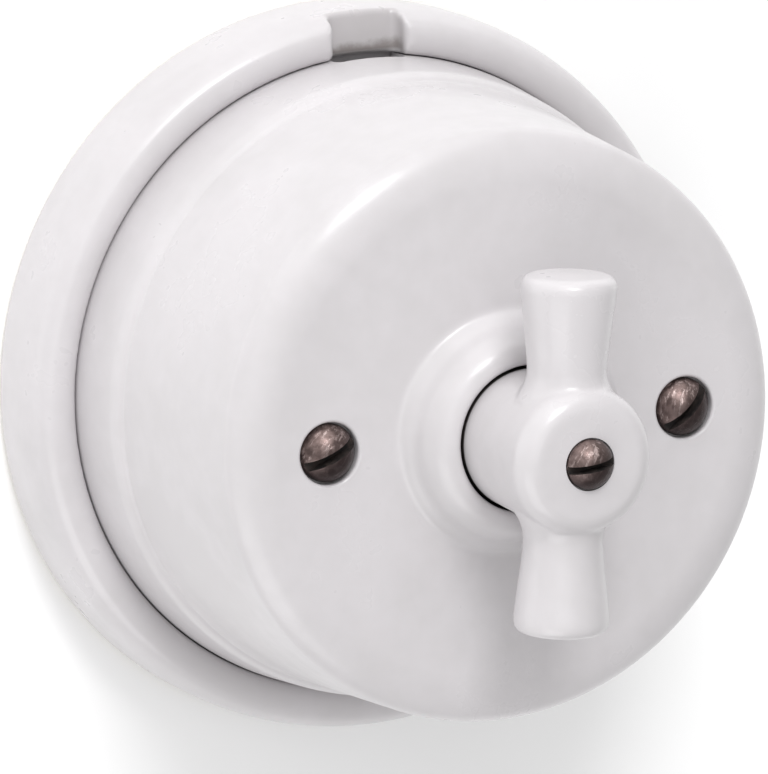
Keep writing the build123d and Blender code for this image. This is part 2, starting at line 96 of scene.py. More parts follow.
def turnedPiece(name, outline, turns, place=(0, 0)):
    # an outline of (radius, height off the wall) in mm, spun round an axis along Y
    nothingSelected()
    x, z = place
    start = Vector(((x + outline[0][0]) * mm, -outline[0][1] * mm, z * mm))
    bpy.ops.mesh.primitive_plane_add(size=mm, location=start)
    piece = bpy.context.object
    piece.name = name
    bpy.ops.object.mode_set(mode="EDIT")
    bpy.ops.mesh.select_mode(type="VERT")
    bpy.ops.mesh.select_all(action="SELECT")
    bpy.ops.mesh.merge(type="CENTER")
    here = outline[0]
    for there in outline[1:]:
        step = ((there[0] - here[0]) * mm, -(there[1] - here[1]) * mm, 0)
        bpy.ops.mesh.extrude_vertices_move(TRANSFORM_OT_translate={"value": step})
        here = there
    bpy.ops.mesh.select_all(action="SELECT")
    bpy.ops.mesh.spin(steps=turns, angle=2 * pi, center=(x * mm, 0, z * mm), axis=wallAxis)
    bpy.ops.mesh.select_all(action="SELECT")
    bpy.ops.mesh.remove_doubles(threshold=0.002 * mm)
    bpy.ops.mesh.normals_make_consistent(inside=False)
    bpy.ops.object.mode_set(mode="OBJECT")
    applyPlace()
    return piece


def addRod(place, radius, fromHeight, toHeight, sides):
    # a round rod that runs along Y between two heights, to cut or to join with
    nothingSelected()
    bpy.ops.mesh.primitive_cylinder_add(
        vertices=sides, radius=radius * mm, depth=(toHeight - fromHeight) * mm,
        location=(place[0] * mm, -(fromHeight + toHeight) / 2 * mm, place[1] * mm),
        rotation=(pi / 2, 0, 0))
    return bpy.context.object


def combine(piece, other, operation="DIFFERENCE"):
    # takes the other piece out of this one, or joins it on
    pickOnly(piece)
    cut = piece.modifiers.new("cut", "BOOLEAN")
    cut.operation = operation
    cut.solver = "EXACT"
    cut.object = other
    bpy.ops.object.modifier_apply(modifier=cut.name)
    bpy.data.objects.remove(other)


def drill(piece, place, radius, fromHeight, toHeight, sides=64):
    combine(piece, addRod(place, radius, fromHeight, toHeight, sides))


def softClay(piece, grain, rounds, share=1.0):
    # evens the mesh out and softens its edges, as glaze does, then keeps a share of its faces
    even = piece.modifiers.new("even", "REMESH")
    even.mode = "VOXEL"
    even.voxel_size = grain * mm
    even.use_smooth_shade = True
    soften = piece.modifiers.new("soften", "SMOOTH")
    soften.factor = 0.5
    soften.iterations = rounds
    if share < 1.0:
        thin = piece.modifiers.new("thin", "DECIMATE")
        thin.ratio = share
    applyModifiers(piece)
    bpy.ops.object.shade_smooth()


def smoothByAngle(piece, degrees):
    pickOnly(piece)
    bpy.ops.object.shade_smooth_by_angle(angle=radians(degrees))


def selectEdges(piece, test):
    # in edit mode, selects the edges whose two ends pass the test
    bpy.ops.mesh.select_all(action="DESELECT")
    bpy.ops.mesh.select_mode(type="EDGE")
    mesh = bmesh.from_edit_mesh(piece.data)
    for edge in mesh.edges:
        edge.select = all(test(v.co) for v in edge.verts)
    mesh.select_flush_mode()
    bmesh.update_edit_mesh(piece.data)


def describe(label, piece):
    points = [piece.matrix_world @ v.co for v in piece.data.vertices]
    spans = []
    for i in range(3):
        along = [p[i] / mm for p in points]
        spans.append(f"{min(along):.2f} to {max(along):.2f}")
    print(label, len(piece.data.polygons), "faces, mm:", "; ".join(spans))


# Node group and material helpers

def newGroup(name, inputs, outputs):
    group = bpy.data.node_groups.new(name, "ShaderNodeTree")
    for label, value in inputs.items():
        socket = group.interface.new_socket(name=label, in_out="INPUT", socket_type="NodeSocketFloat")
        socket.default_value = value
    for label in outputs:
        group.interface.new_socket(name=label, in_out="OUTPUT", socket_type="NodeSocketFloat")
    start = group.nodes.new("NodeGroupInput")
    end = group.nodes.new("NodeGroupOutput")
    return group, start, end


def addNode(tree, kind, settings=None, values=None):
    node = tree.nodes.new(kind)
    for label, value in (settings or {}).items():
        setattr(node, label, value)
    for label, value in (values or {}).items():
        node.inputs[label].default_value = value
    return node


def connect(tree, source, target):
    tree.links.new(source, target)


def feed(tree, sockets, values):
    # sets each socket to a plain value, or links it to another node's output
    for socket, value in zip(sockets, values):
        if isinstance(value, (int, float, tuple)):
            socket.default_value = value
        elif value is not None:
            connect(tree, value, socket)


def mathNode(tree, operation, a, b=None, clamp=False):
    node = addNode(tree, "ShaderNodeMath", {"operation": operation, "use_clamp": clamp})
    feed(tree, node.inputs, (a, b))
    return node.outputs[0]


def mixColours(tree, factor, first, second):
    node = addNode(tree, "ShaderNodeMix", {"data_type": "RGBA", "blend_type": "MIX"})
    feed(tree, (node.inputs[0], node.inputs[6], node.inputs[7]), (factor, first, second))
    return node.outputs[2]


def rampBetween(tree, value, low, high, outLow=0.0, outHigh=1.0):
    node = addNode(tree, "ShaderNodeMapRange", {"interpolation_type": "SMOOTHSTEP", "clamp": True},
                   {"From Min": low, "From Max": high, "To Min": outLow, "To Max": outHigh})
    connect(tree, value, node.inputs["Value"])
    return node.outputs["Result"]


def noiseNode(tree, vector, scale, detail, roughness, distortion=0.0):
    node = addNode(tree, "ShaderNodeTexNoise", None,
                   {"Detail": detail, "Roughness": roughness, "Distortion": distortion})
    connect(tree, vector, node.inputs["Vector"])
    feed(tree, (node.inputs["Scale"],), (scale,))
    return node.outputs["Fac"]


def objectAxes(tree):
    place = addNode(tree, "ShaderNodeTexCoord").outputs["Object"]
    split = addNode(tree, "ShaderNodeSeparateXYZ")
    connect(tree, place, split.inputs[0])
    return place, split.outputs["X"], split.outputs["Y"], split.outputs["Z"]


glazeSkin = {
    "flowScale": 60.0, "flowShare": 0.72, "mottleScale": 420.0, "mottleShare": 0.28,
    "speckScale": 230.0, "speckShare": 0.05, "speckSize": 0.034, "speckLeast": 0.45, "speckEdge": 0.45,
    "rippleScale": 150.0, "rippleRelief": 0.8, "mottleRelief": 0.2,
}


def buildGlazeGroup():
    g = glazeSkin
    group, start, end = newGroup(
        "glazeSkin", {"Flow Scale": g["flowScale"], "Speck Scale": g["speckScale"],
                      "Speck Share": g["speckShare"], "Speck Size": g["speckSize"]},
        ("Tone", "Speck", "Relief"))
    coords = addNode(group, "ShaderNodeTexCoord").outputs["Object"]
    flow = noiseNode(group, coords, start.outputs["Flow Scale"], 3.0, 0.5, 0.4)
    mottle = noiseNode(group, coords, g["mottleScale"], 2.0, 0.55)
    tone = mathNode(group, "ADD", mathNode(group, "MULTIPLY", flow, g["flowShare"]),
                    mathNode(group, "MULTIPLY", mottle, g["mottleShare"]))
    connect(group, tone, end.inputs["Tone"])
    cells = addNode(group, "ShaderNodeTexVoronoi", {"feature": "F1"}, {"Randomness": 1.0})
    connect(group, coords, cells.inputs["Vector"])
    connect(group, start.outputs["Speck Scale"], cells.inputs["Scale"])
    parts = addNode(group, "ShaderNodeSeparateColor")
    connect(group, cells.outputs["Color"], parts.inputs["Color"])
    chosen = mathNode(group, "LESS_THAN", parts.outputs["Red"], start.outputs["Speck Share"])
    size = mathNode(group, "MULTIPLY", start.outputs["Speck Size"],
                    mathNode(group, "ADD", parts.outputs["Green"], g["speckLeast"]))
    inside = mathNode(group, "SUBTRACT", 1.0,
                      mathNode(group, "DIVIDE", cells.outputs["Distance"], size), clamp=True)
    speck = mathNode(group, "MULTIPLY", rampBetween(group, inside, 0.0, g["speckEdge"]), chosen)
    connect(group, speck, end.inputs["Speck"])
    ripple = noiseNode(group, coords, g["rippleScale"], 1.5, 0.4)
    relief = mathNode(group, "ADD", mathNode(group, "MULTIPLY", ripple, g["rippleRelief"]),
                      mathNode(group, "MULTIPLY", mottle, g["mottleRelief"]))
    connect(group, mathNode(group, "SUBTRACT", relief, speck), end.inputs["Relief"])
    return group


metalSkin = {
    "scratchScale": 900.0, "scratchTurn": 0.6, "scratchStretch": (0.16, 1.0, 1.0),
    "scratchFrom": 0.5, "scratchTo": 0.68, "scratchRelief": -0.6,
    "blotchScale": 350.0, "blotchFrom": 0.36, "blotchTo": 0.64, "blotchRelief": 0.8,
}


def buildMetalWearGroup():
    m = metalSkin
    group, start, end = newGroup(
        "metalWear", {"Scratch Scale": m["scratchScale"], "Blotch Scale": m["blotchScale"],
                      "Scratch Turn": m["scratchTurn"]},
        ("Scratch", "Blotch", "Relief"))
    coords = addNode(group, "ShaderNodeTexCoord").outputs["Object"]
    turned = addNode(group, "ShaderNodeVectorRotate", {"rotation_type": "Y_AXIS"})
    connect(group, coords, turned.inputs["Vector"])
    connect(group, start.outputs["Scratch Turn"], turned.inputs["Angle"])
    stretch = addNode(group, "ShaderNodeVectorMath", {"operation": "MULTIPLY"})
    connect(group, turned.outputs["Vector"], stretch.inputs[0])
    stretch.inputs[1].default_value = m["scratchStretch"]
    lines = noiseNode(group, stretch.outputs["Vector"], start.outputs["Scratch Scale"], 4.0, 0.7, 0.25)
    scratch = rampBetween(group, lines, m["scratchFrom"], m["scratchTo"])
    connect(group, scratch, end.inputs["Scratch"])
    blotch = noiseNode(group, coords, start.outputs["Blotch Scale"], 5.0, 0.6, 0.2)
    connect(group, rampBetween(group, blotch, m["blotchFrom"], m["blotchTo"]), end.inputs["Blotch"])
    relief = mathNode(group, "ADD", mathNode(group, "MULTIPLY", scratch, m["scratchRelief"]),
                      mathNode(group, "MULTIPLY", blotch, m["blotchRelief"]))
    connect(group, relief, end.inputs["Relief"])
    return group


glazeGroup = buildGlazeGroup()
metalWearGroup = buildMetalWearGroup()


def startMaterial(name):
    material = bpy.data.materials.new(name)
    material.use_nodes = True
    tree = material.node_tree
    shader = tree.nodes["Principled BSDF"]
    return material, tree, shader


def placeGroup(tree, group, values):
    return addNode(tree, "ShaderNodeGroup", {"node_tree": group}, values)


def bumpFrom(tree, shader, height, bump):
    strength, distance = bump
    node = addNode(tree, "ShaderNodeBump", None, {"Strength": strength, "Distance": distance * mm})
    connect(tree, height, node.inputs["Height"])
    connect(tree, node.outputs["Normal"], shader.inputs["Normal"])


# Porcelain: a clear glaze, bare at the foot, with a stain and painted shade in the notch and painted shade
# in the turning gap

porcelainLook = {
    "light": (0.600, 0.578, 0.592, 1.0),
    "shade": (0.562, 0.542, 0.552, 1.0),
    "speck": (0.10, 0.075, 0.06, 1.0),
    "bare": (0.60, 0.56, 0.50, 1.0),
    # nearly black painted shade for the turning gap
    "gapPaintedShade": (0.035, 0.030, 0.028, 1.0),
    # the notch's colour: partly grime, partly painted shade
    "stainAndShade": (0.27, 0.245, 0.24, 1.0),
    "toneFrom": 0.34, "toneTo": 0.66,
    "roughFrom": 0.3, "roughTo": 0.7, "roughLow": 0.26, "roughHigh": 0.38,
    "specular": 0.45, "coat": 0.35, "coatRoughness": 0.22, "bump": (0.3, 0.05),
    "footHeight": 0.9, "footFull": 0.36, "footRough": 0.5,
}
notchStainAndShade = {
    "middle": 0.6, "halfWidth": 4.4, "sideFade": 0.6, "top": 9.3, "topFade": 0.8, "bottom": 6.9,
    "bottomFade": 0.3, "from": 33.1, "fromFade": 0.5, "dark": 34.5, "darkFade": 1.0, "faint": 0.28,
    "patchScale": 700.0, "patchReach": 1.6,
}
# where the painted shade in the turning gap reaches, on the cover and on the knob
turningGap = {
    "fade": 0.3, "radiusFade": 0.05,
    "cover": {"radius": 7.55, "height": 45.0},
    "knob": {"radius": 7.65, "height": 45.1},
}


def notchStainAndShadeMask(tree):
    # a faint stain with painted shade on the cable notch's floor, stronger towards the cover
    n = notchStainAndShade
    place, x, y, z = objectAxes(tree)
    sideways = mathNode(tree, "ABSOLUTE", mathNode(tree, "SUBTRACT", x, n["middle"] * mm))
    across = rampBetween(tree, sideways, (n["halfWidth"] - n["sideFade"]) * mm, n["halfWidth"] * mm,
                         1.0, 0.0)
    under = rampBetween(tree, y, -n["top"] * mm, -(n["top"] - n["topFade"]) * mm)
    above = rampBetween(tree, z, n["from"] * mm, (n["from"] + n["fromFade"]) * mm)
    floor = rampBetween(tree, y, -n["bottom"] * mm, -(n["bottom"] + n["bottomFade"]) * mm)
    patches = mathNode(tree, "MULTIPLY", noiseNode(tree, place, n["patchScale"], 3.0, 0.6),
                       n["patchReach"] * mm)
    inner = rampBetween(tree, mathNode(tree, "ADD", z, patches), n["dark"] * mm,
                        (n["dark"] + n["darkFade"]) * mm, 1.0, n["faint"])
    mask = mathNode(tree, "MULTIPLY", mathNode(tree, "MULTIPLY", across, under),
                    mathNode(tree, "MULTIPLY", above, floor))
    return mathNode(tree, "MULTIPLY", mask, inner)


def gapPaintedShadeMask(tree, side):
    # painted shade on one side of the turning gap, within a radius and below a height
    g = turningGap
    radius, height = g[side]["radius"], g[side]["height"]
    x, y, z = objectAxes(tree)[1:]
    away = mathNode(tree, "SQRT", mathNode(tree, "ADD", mathNode(tree, "MULTIPLY", x, x),
                                           mathNode(tree, "MULTIPLY", z, z)))
    near = rampBetween(tree, away, (radius - g["radiusFade"]) * mm, radius * mm, 1.0, 0.0)
    deepShade = rampBetween(tree, y, -height * mm, -(height - g["fade"]) * mm)
    return mathNode(tree, "MULTIPLY", near, deepShade)


def porcelainMaterial(name, specks, bareFoot=False, stainedAndShaded=False, gapSide=None):
    look = porcelainLook
    material, tree, shader = startMaterial(name)
    glaze = placeGroup(tree, glazeGroup, {"Speck Share": specks})
    tone = glaze.outputs["Tone"]
    clay = mixColours(tree, rampBetween(tree, tone, look["toneFrom"], look["toneTo"]),
                      look["shade"], look["light"])
    colour = mixColours(tree, glaze.outputs["Speck"], clay, look["speck"])
    rough = rampBetween(tree, tone, look["roughFrom"], look["roughTo"],
                        look["roughHigh"], look["roughLow"])
    if bareFoot:
        foot = rampBetween(tree, objectAxes(tree)[2], -look["footHeight"] * mm, -look["footFull"] * mm)
        colour = mixColours(tree, foot, colour, look["bare"])
        rougher = mathNode(tree, "MULTIPLY", foot, look["footRough"])
        rough = mathNode(tree, "ADD", rough, rougher, clamp=True)
    # the notch's stain, partly grime and partly painted shade near the cover
    if stainedAndShaded:
        colour = mixColours(tree, notchStainAndShadeMask(tree), colour, look["stainAndShade"])
    # painted shade in the turning gap
    if gapSide:
        colour = mixColours(tree, gapPaintedShadeMask(tree, gapSide), colour, look["gapPaintedShade"])
    connect(tree, colour, shader.inputs["Base Color"])
    connect(tree, rough, shader.inputs["Roughness"])
    shader.inputs["Specular IOR Level"].default_value = look["specular"]
    shader.inputs["Coat Weight"].default_value = look["coat"]
    shader.inputs["Coat Roughness"].default_value = look["coatRoughness"]
    bumpFrom(tree, shader, glaze.outputs["Relief"], look["bump"])
    return material


# Bronze of the screw heads, with painted shade: darker at the lower right, with fewer bright worn
# scratches there

bronzeLook = {
    # the deep colour is painted shade for the lower right of each head
    "deepShade": (0.022, 0.014, 0.015, 1.0),
    "dark": (0.120, 0.085, 0.079, 1.0),
    "brown": (0.205, 0.150, 0.140, 1.0),
    # bright worn bronze: real wear, shown more on the lit upper left as painted light
    "wearAndPaintedLight": (0.52, 0.42, 0.40, 1.0),
    "scratchScale": 2200.0, "blotchScale": 1500.0, "metallic": 0.85, "roughLow": 0.30, "roughHigh": 0.46,
    # these shape the ramp of painted shade from the upper left to the lower right of each head
    "bump": (0.5, 0.06), "sideways": 0.55, "downwards": 0.83, "unevenness": 0.5,
    "paintedShadeFrom": -1.6, "paintedShadeTo": 1.3, "paintedShadeShare": 0.8, "wearOnLitSide": 0.85, "wearOnShadedSide": 0.2,
}


def bronzeMaterial(name, middle, turn):
    look = bronzeLook
    material, tree, shader = startMaterial(name)
    wear = placeGroup(tree, metalWearGroup, {
        "Scratch Turn": turn, "Scratch Scale": look["scratchScale"], "Blotch Scale": look["blotchScale"]})
    blotch = wear.outputs["Blotch"]
    patina = mixColours(tree, blotch, look["dark"], look["brown"])
    x, y, z = objectAxes(tree)[1:]
    # painted shade: a ramp towards the lower right of each head, with an uneven edge
    sideways = mathNode(tree, "MULTIPLY", mathNode(tree, "SUBTRACT", x, middle * mm), look["sideways"])
    down = mathNode(tree, "SUBTRACT", sideways, mathNode(tree, "MULTIPLY", z, look["downwards"]))
    uneven = mathNode(tree, "ADD", down, mathNode(tree, "MULTIPLY", blotch, look["unevenness"] * mm))
    paintedShade = rampBetween(tree, uneven, look["paintedShadeFrom"] * mm, look["paintedShadeTo"] * mm)
    # worn scratches: real wear, thinned towards the lower right as painted shade
    wearAndPaintedLight = mathNode(tree, "MULTIPLY", wear.outputs["Scratch"],
                    rampBetween(tree, paintedShade, 0.0, 1.0, look["wearOnLitSide"], look["wearOnShadedSide"]))
    colour = mixColours(tree, wearAndPaintedLight, patina, look["wearAndPaintedLight"])
    # painted shade: the deep colour laid over the lower right
    colour = mixColours(tree, mathNode(tree, "MULTIPLY", paintedShade, look["paintedShadeShare"]), colour, look["deepShade"])
    connect(tree, colour, shader.inputs["Base Color"])
    shader.inputs["Metallic"].default_value = look["metallic"]
    rough = rampBetween(tree, blotch, 0.0, 1.0, look["roughLow"], look["roughHigh"])
    connect(tree, rough, shader.inputs["Roughness"])
    bumpFrom(tree, shader, wear.outputs["Relief"], look["bump"])
    return material


# Plain finishes: two tones of one stuff, blotched and finely scratched

plainScratches = {"turn": 0.2, "scale": 700.0, "share": 0.35}


def plainMaterial(name, base, bright, metallic=1.0, rough=(0.22, 0.42), bump=(0.25, 0.04),
                  blotchScale=350.0, scratched=True):
    material, tree, shader = startMaterial(name)
    values = {"Blotch Scale": blotchScale}
    if scratched:
        values.update({"Scratch Turn": plainScratches["turn"], "Scratch Scale": plainScratches["scale"]})
    wear = placeGroup(tree, metalWearGroup, values)
    colour = mixColours(tree, wear.outputs["Blotch"], base, bright)
    if scratched:
        lines = mathNode(tree, "MULTIPLY", wear.outputs["Scratch"], plainScratches["share"])
        colour = mixColours(tree, lines, colour, bright)
    connect(tree, colour, shader.inputs["Base Color"])
    shader.inputs["Metallic"].default_value = metallic
    connect(tree, rampBetween(tree, wear.outputs["Blotch"], 0.0, 1.0, rough[0], rough[1]),
            shader.inputs["Roughness"])
    bumpFrom(tree, shader, wear.outputs["Relief"], bump)
    return material


plainFinishes = {
    "slotNearBlack": {"base": (0.008, 0.006, 0.006, 1.0), "bright": (0.035, 0.025, 0.022, 1.0),
                  "metallic": 0.3, "rough": (0.7, 0.9), "bump": (0.5, 0.05), "blotchScale": 1500.0,
                  "scratched": False},
    "brass": {"base": (0.50, 0.33, 0.12, 1.0), "bright": (0.80, 0.60, 0.28, 1.0)},
    "steel": {"base": (0.38, 0.38, 0.39, 1.0), "bright": (0.62, 0.62, 0.62, 1.0)},
    "springSteel": {"base": (0.24, 0.25, 0.28, 1.0), "bright": (0.45, 0.46, 0.48, 1.0)},
    "fibre": {"base": (0.16, 0.075, 0.04, 1.0), "bright": (0.26, 0.13, 0.075, 1.0), "metallic": 0.0,
              "rough": (0.6, 0.85)},
    "moulding": {"base": (0.012, 0.010, 0.010, 1.0), "bright": (0.035, 0.028, 0.026, 1.0),
                 "metallic": 0.0, "rough": (0.3, 0.5)},
    "camPlastic": {"base": (0.55, 0.50, 0.38, 1.0), "bright": (0.66, 0.62, 0.50, 1.0), "metallic": 0.0,
                   "rough": (0.35, 0.5)},
}
materials = {
    "basePorcelain": porcelainMaterial("basePorcelain", 0.03, bareFoot=True, stainedAndShaded=True),
    "coverPorcelain": porcelainMaterial("coverPorcelain", 0.05, gapSide="cover"),
    "knobPorcelain": porcelainMaterial("knobPorcelain", 0.0, gapSide="knob"),
    "screwBronzeLeft": bronzeMaterial("screwBronzeLeft", -19.7, 0.9),
    "screwBronzeRight": bronzeMaterial("screwBronzeRight", 19.7, 1.4),
    "knobScrewBronze": bronzeMaterial("knobScrewBronze", 0.0, 1.1),
}
for finishName, finish in plainFinishes.items():
    materials[finishName] = plainMaterial(finishName, **finish)
print("materials ready:", len(materials))


def dress(piece, *names):
    piece.data.materials.clear()
    for name in names:
        piece.data.materials.append(materials[name])


# Base: a turned dish with a raised rim, an island and a cable notch

base = {
    "radius": 38.0, "footWidth": 4.2, "footEdge": 0.6, "hollow": 1.6, "bossRadius": 7.0,
    "sideHeight": 3.7, "crestRadius": 35.3, "crestHeight": 9.8, "innerRadius": 33.2, "innerDrop": 0.95,
    "outerCurve": ((0.0, 5.1), (1.5, 0.0)), "innerCurve": ((-0.9, 0.0), (0.15, 0.45)),
    "ledge": 5.6, "ledgeRadius": 29.4, "channel": 4.6, "channelEdge": 0.8,
    "island": 9.0, "islandRadius": 25.5, "islandEdge": 0.6,
    "notchWidth": 8.0, "notchShift": 0.6, "notchDepth": 2.4, "notchLip": 1.0, "notchCorner": 0.7,
    "notchInside": 2.0, "notchOutside": 3.0, "notchHeight": 6.0, "lipRows": 5,
    "fixingCircle": 40.0, "fixingAngles": (45, 225), "fixingRadius": 2.25, "fixingHead": 4.2,
    "fixingSink": 2.0, "fixingBoss": 5.6, "bossOverlap": 0.5,
    "screwX": 19.7, "screwHole": 1.9, "mechanismX": 12.8, "mechanismHole": 1.65,
    "headPocket": 3.3, "pocketDepth": 2.2, "nutSides": 6,
    "turns": 160, "grain": 0.3, "softness": 4, "share": 0.5,
}


def makeBase():
    b = base
    hollow, island = b["hollow"], b["island"]
    crest = (b["crestRadius"], b["crestHeight"])
    sideTop = (b["radius"], b["sideHeight"])
    innerTop = (b["innerRadius"], b["crestHeight"] - b["innerDrop"])
    footInner = b["radius"] - b["footWidth"]
    piece = turnedPiece("porcelainBase", outlineFrom(
        (0, 0), (b["bossRadius"], 0), (b["bossRadius"], hollow),
        (footInner - hollow, hollow), (footInner, 0), (b["radius"] - b["footEdge"], 0),
        (b["radius"], b["footEdge"]), sideTop,
        softCurve(sideTop, crest, b["outerCurve"], 10), softCurve(crest, innerTop, b["innerCurve"], 8),
        (b["innerRadius"], b["ledge"]), (b["ledgeRadius"], b["ledge"]), (b["ledgeRadius"], b["channel"]),
        (b["islandRadius"] + b["channelEdge"], b["channel"]),
        (b["islandRadius"], b["channel"] + b["channelEdge"]),
        (b["islandRadius"], island - b["islandEdge"]), (b["islandRadius"] - b["islandEdge"], island),
        (0, island)), b["turns"])
    places = [(b["fixingCircle"] / 2 * cos(radians(angle)), b["fixingCircle"] / 2 * sin(radians(angle)))
              for angle in b["fixingAngles"]]
    for at in places:
        combine(piece, addRod(at, b["fixingBoss"], 0, hollow + b["bossOverlap"], 64), "UNION")
    for at in places:
        drill(piece, at, b["fixingRadius"], -past, island + past)
        drill(piece, at, b["fixingHead"], island - b["fixingSink"], island + past)
    pocket = (b["headPocket"], hollow - past, hollow + b["pocketDepth"])
    for side in (-1, 1):
        drill(piece, (side * b["screwX"], 0), b["screwHole"], -past, island + past)
        drill(piece, (side * b["mechanismX"], 0), b["mechanismHole"], -past, island + past)
        drill(piece, (side * b["screwX"], 0), *pocket)
        drill(piece, (side * b["mechanismX"], 0), *pocket, b["nutSides"])
    cutNotch(piece)
    softClay(piece, b["grain"], b["softness"], b["share"])
    return piece


def cutNotch(piece):
    # a block with flared lips, taken out across the rim
    b = base
    nothingSelected()
    inner, outer = b["innerRadius"] - b["notchInside"], b["radius"] + b["notchOutside"]
    floor = b["crestHeight"] - b["notchDepth"]
    bpy.ops.mesh.primitive_cube_add(
        size=mm, location=(0, -(floor + b["notchHeight"] / 2) * mm, (inner + outer) / 2 * mm))
    block = bpy.context.object
    block.scale = (b["notchWidth"], b["notchHeight"], outer - inner)
    applyPlace()
    bpy.ops.object.mode_set(mode="EDIT")
    lowest, nearSide = -(floor + 0.1) * mm, b["notchWidth"] * 0.49 * mm
    selectEdges(block, lambda p: p.y > lowest and abs(p.x) > nearSide)
    bpy.ops.mesh.bevel(offset=b["notchCorner"] * mm, segments=4)
    # rows of points up the sides, which then flare towards the crest
    lip, lipFoot = b["notchLip"], floor + b["notchDepth"] - b["notchLip"]
    for row in range(b["lipRows"]):
        bpy.ops.mesh.select_all(action="SELECT")
        level = lipFoot + lip * row / (b["lipRows"] - 1)
        bpy.ops.mesh.bisect(plane_co=(0, -level * mm, 0), plane_no=wallAxis)
    bpy.ops.mesh.select_mode(type="VERT")
    mesh = bmesh.from_edit_mesh(block.data)
    for point in mesh.verts:
        share = min((-point.co.y / mm - lipFoot) / lip, 1.0)
        if share > 0:
            point.co.x += (1 - sqrt(1 - share * share)) * lip * mm * (1 if point.co.x > 0 else -1)
    bmesh.update_edit_mesh(block.data)
    bpy.ops.mesh.select_all(action="SELECT")
    bpy.ops.mesh.normals_make_consistent(inside=False)
    bpy.ops.transform.translate(value=(b["notchShift"] * mm, 0, 0))
    bpy.ops.object.mode_set(mode="OBJECT")
    combine(piece, block)


basePiece = makeBase()
dress(basePiece, "basePorcelain")
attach(basePiece, "switch")
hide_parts("base")
describe("base made:", basePiece)


# Cover: a turned cap with a banded foot, soft shoulder and bell-shaped collar

cover = {
    "rimRadius": 33.1, "rimHeight": 5.6, "rimEdge": 0.5, "footHeight": 9.6, "wall": 3.0,
    "stepHeight": 15.4, "stepRadius": 32.55, "stepRound": 2.2, "stepDepth": 0.8,
    "stepCurve": ((-0.05, 1.1), (0.5, -0.35)), "wallFoot": (-0.12, 0.7),
    "wallCurve": ((-0.08, 0.08), (0.02, -0.4)),
    "shoulderRadius": 30.15, "height": 40.8, "edge": 2.6, "edgeWidth": 5.15,
    "edgeCurve": ((-0.182, 1.612), (1.854, 0.0)),
    "frontWall": 3.8, "insideCorner": 2.8, "insideCurve": ((2.0, 0.0), (0.0, 2.0)), "insideStep": 0.9,
    "collarFoot": 13.1, "collarHeight": 4.5, "collarLip": 8.0, "collarBore": 7.42, "boreEdge": 0.5,
    "slopeFoot": (11.4, 41.85), "slopeTop": (10.35, 43.7),
    "footCurve": ((-1.1, 0.0), (0.7, -0.7)), "slopeCurve": ((-0.55, 0.6), (0.55, -0.75)),
    "bellCurve": ((-0.55, 0.8), (1.3, -0.12)), "lipCurve": ((-0.25, -0.02), (0.0, 0.35)),
    "screwX": 19.7, "screwHole": 1.9, "recess": 3.15, "recessDepth": 1.3, "recessEdge": 0.35,
    "lipAngles": (0, 12, 24, 36, 48, 60, 71, 80), "lipRun": 0.5, "lipSlope": 8,
    "mouthWidth": 8.0, "mouthShift": 0.6, "mouthHeight": 4.3, "mouthCorner": 0.8,
    "turns": 192, "recessTurns": 72, "holeSides": 48, "smoothAngle": 32,
}


def makeCover():
    c = cover
    top = c["height"]
    inside = top - c["frontWall"]
    stepLow = (c["stepRadius"], c["stepHeight"])
    stepHigh = (c["stepRadius"] - c["stepDepth"], c["stepHeight"] + c["stepRound"])
    wallFoot = (stepHigh[0] + c["wallFoot"][0], stepHigh[1] + c["wallFoot"][1])
    shoulder = (c["shoulderRadius"], top - c["edge"])
    faceEdge = (c["shoulderRadius"] - c["edgeWidth"], top)
    collarFoot = (c["collarFoot"], top)
    collarLip = (c["collarLip"], top + c["collarHeight"])
    boreTop = (c["collarBore"], collarLip[1] - c["boreEdge"])
    insideTurn = (c["shoulderRadius"] - c["wall"] - c["insideCorner"], inside)
    insideWall = (c["shoulderRadius"] - c["wall"], inside - c["insideCorner"])
    rimInside = (c["rimRadius"] - c["wall"], c["rimHeight"])
    piece = turnedPiece("porcelainCover", outlineFrom(
        rimInside, (c["rimRadius"] - c["rimEdge"], c["rimHeight"]),
        (c["rimRadius"], c["rimHeight"] + c["rimEdge"]), (c["rimRadius"], c["footHeight"]), stepLow,
        softCurve(stepLow, stepHigh, c["stepCurve"], 10), softCurve(stepHigh, wallFoot, c["wallCurve"], 5),
        shoulder, softCurve(shoulder, faceEdge, c["edgeCurve"], 18),
        collarFoot, softCurve(collarFoot, c["slopeFoot"], c["footCurve"], 10),
        softCurve(c["slopeFoot"], c["slopeTop"], c["slopeCurve"], 6),
        softCurve(c["slopeTop"], collarLip, c["bellCurve"], 12),
        softCurve(collarLip, boreTop, c["lipCurve"], 4),
        (c["collarBore"], inside), insideTurn, softCurve(insideTurn, insideWall, c["insideCurve"], 6),
        (c["stepRadius"] - c["wall"] - c["insideStep"], c["stepHeight"]), rimInside), c["turns"])
    for side in (-1, 1):
        cutRecess(piece, side * c["screwX"])
        drill(piece, (side * c["screwX"], 0), c["screwHole"], inside - 2 * past, top + 2 * past,
              c["holeSides"])
    cutMouth(piece)
    keepFaceFlat(piece)
    smoothByAngle(piece, c["smoothAngle"])
    return piece


def cutRecess(piece, x):
    # a round recess for a screw head, with a rounded front rim
    c = cover
    top, edge, radius = c["height"], c["recessEdge"], c["recess"]
    lip = [(radius + edge * (1 - cos(radians(turn))), top - edge * (1 - sin(radians(turn))))
           for turn in c["lipAngles"]]
    # the last stretch leaves the face at a shallow slope
    outer = (lip[-1][0] + c["lipRun"], lip[-1][1] + c["lipRun"] * sin(radians(c["lipSlope"])))
    combine(piece, turnedPiece("recess", outlineFrom(
        (0, top - c["recessDepth"]), (radius, top - c["recessDepth"]), lip, outer,
        (outer[0], top + past), (0, top + past)), c["recessTurns"], (x, 0)))


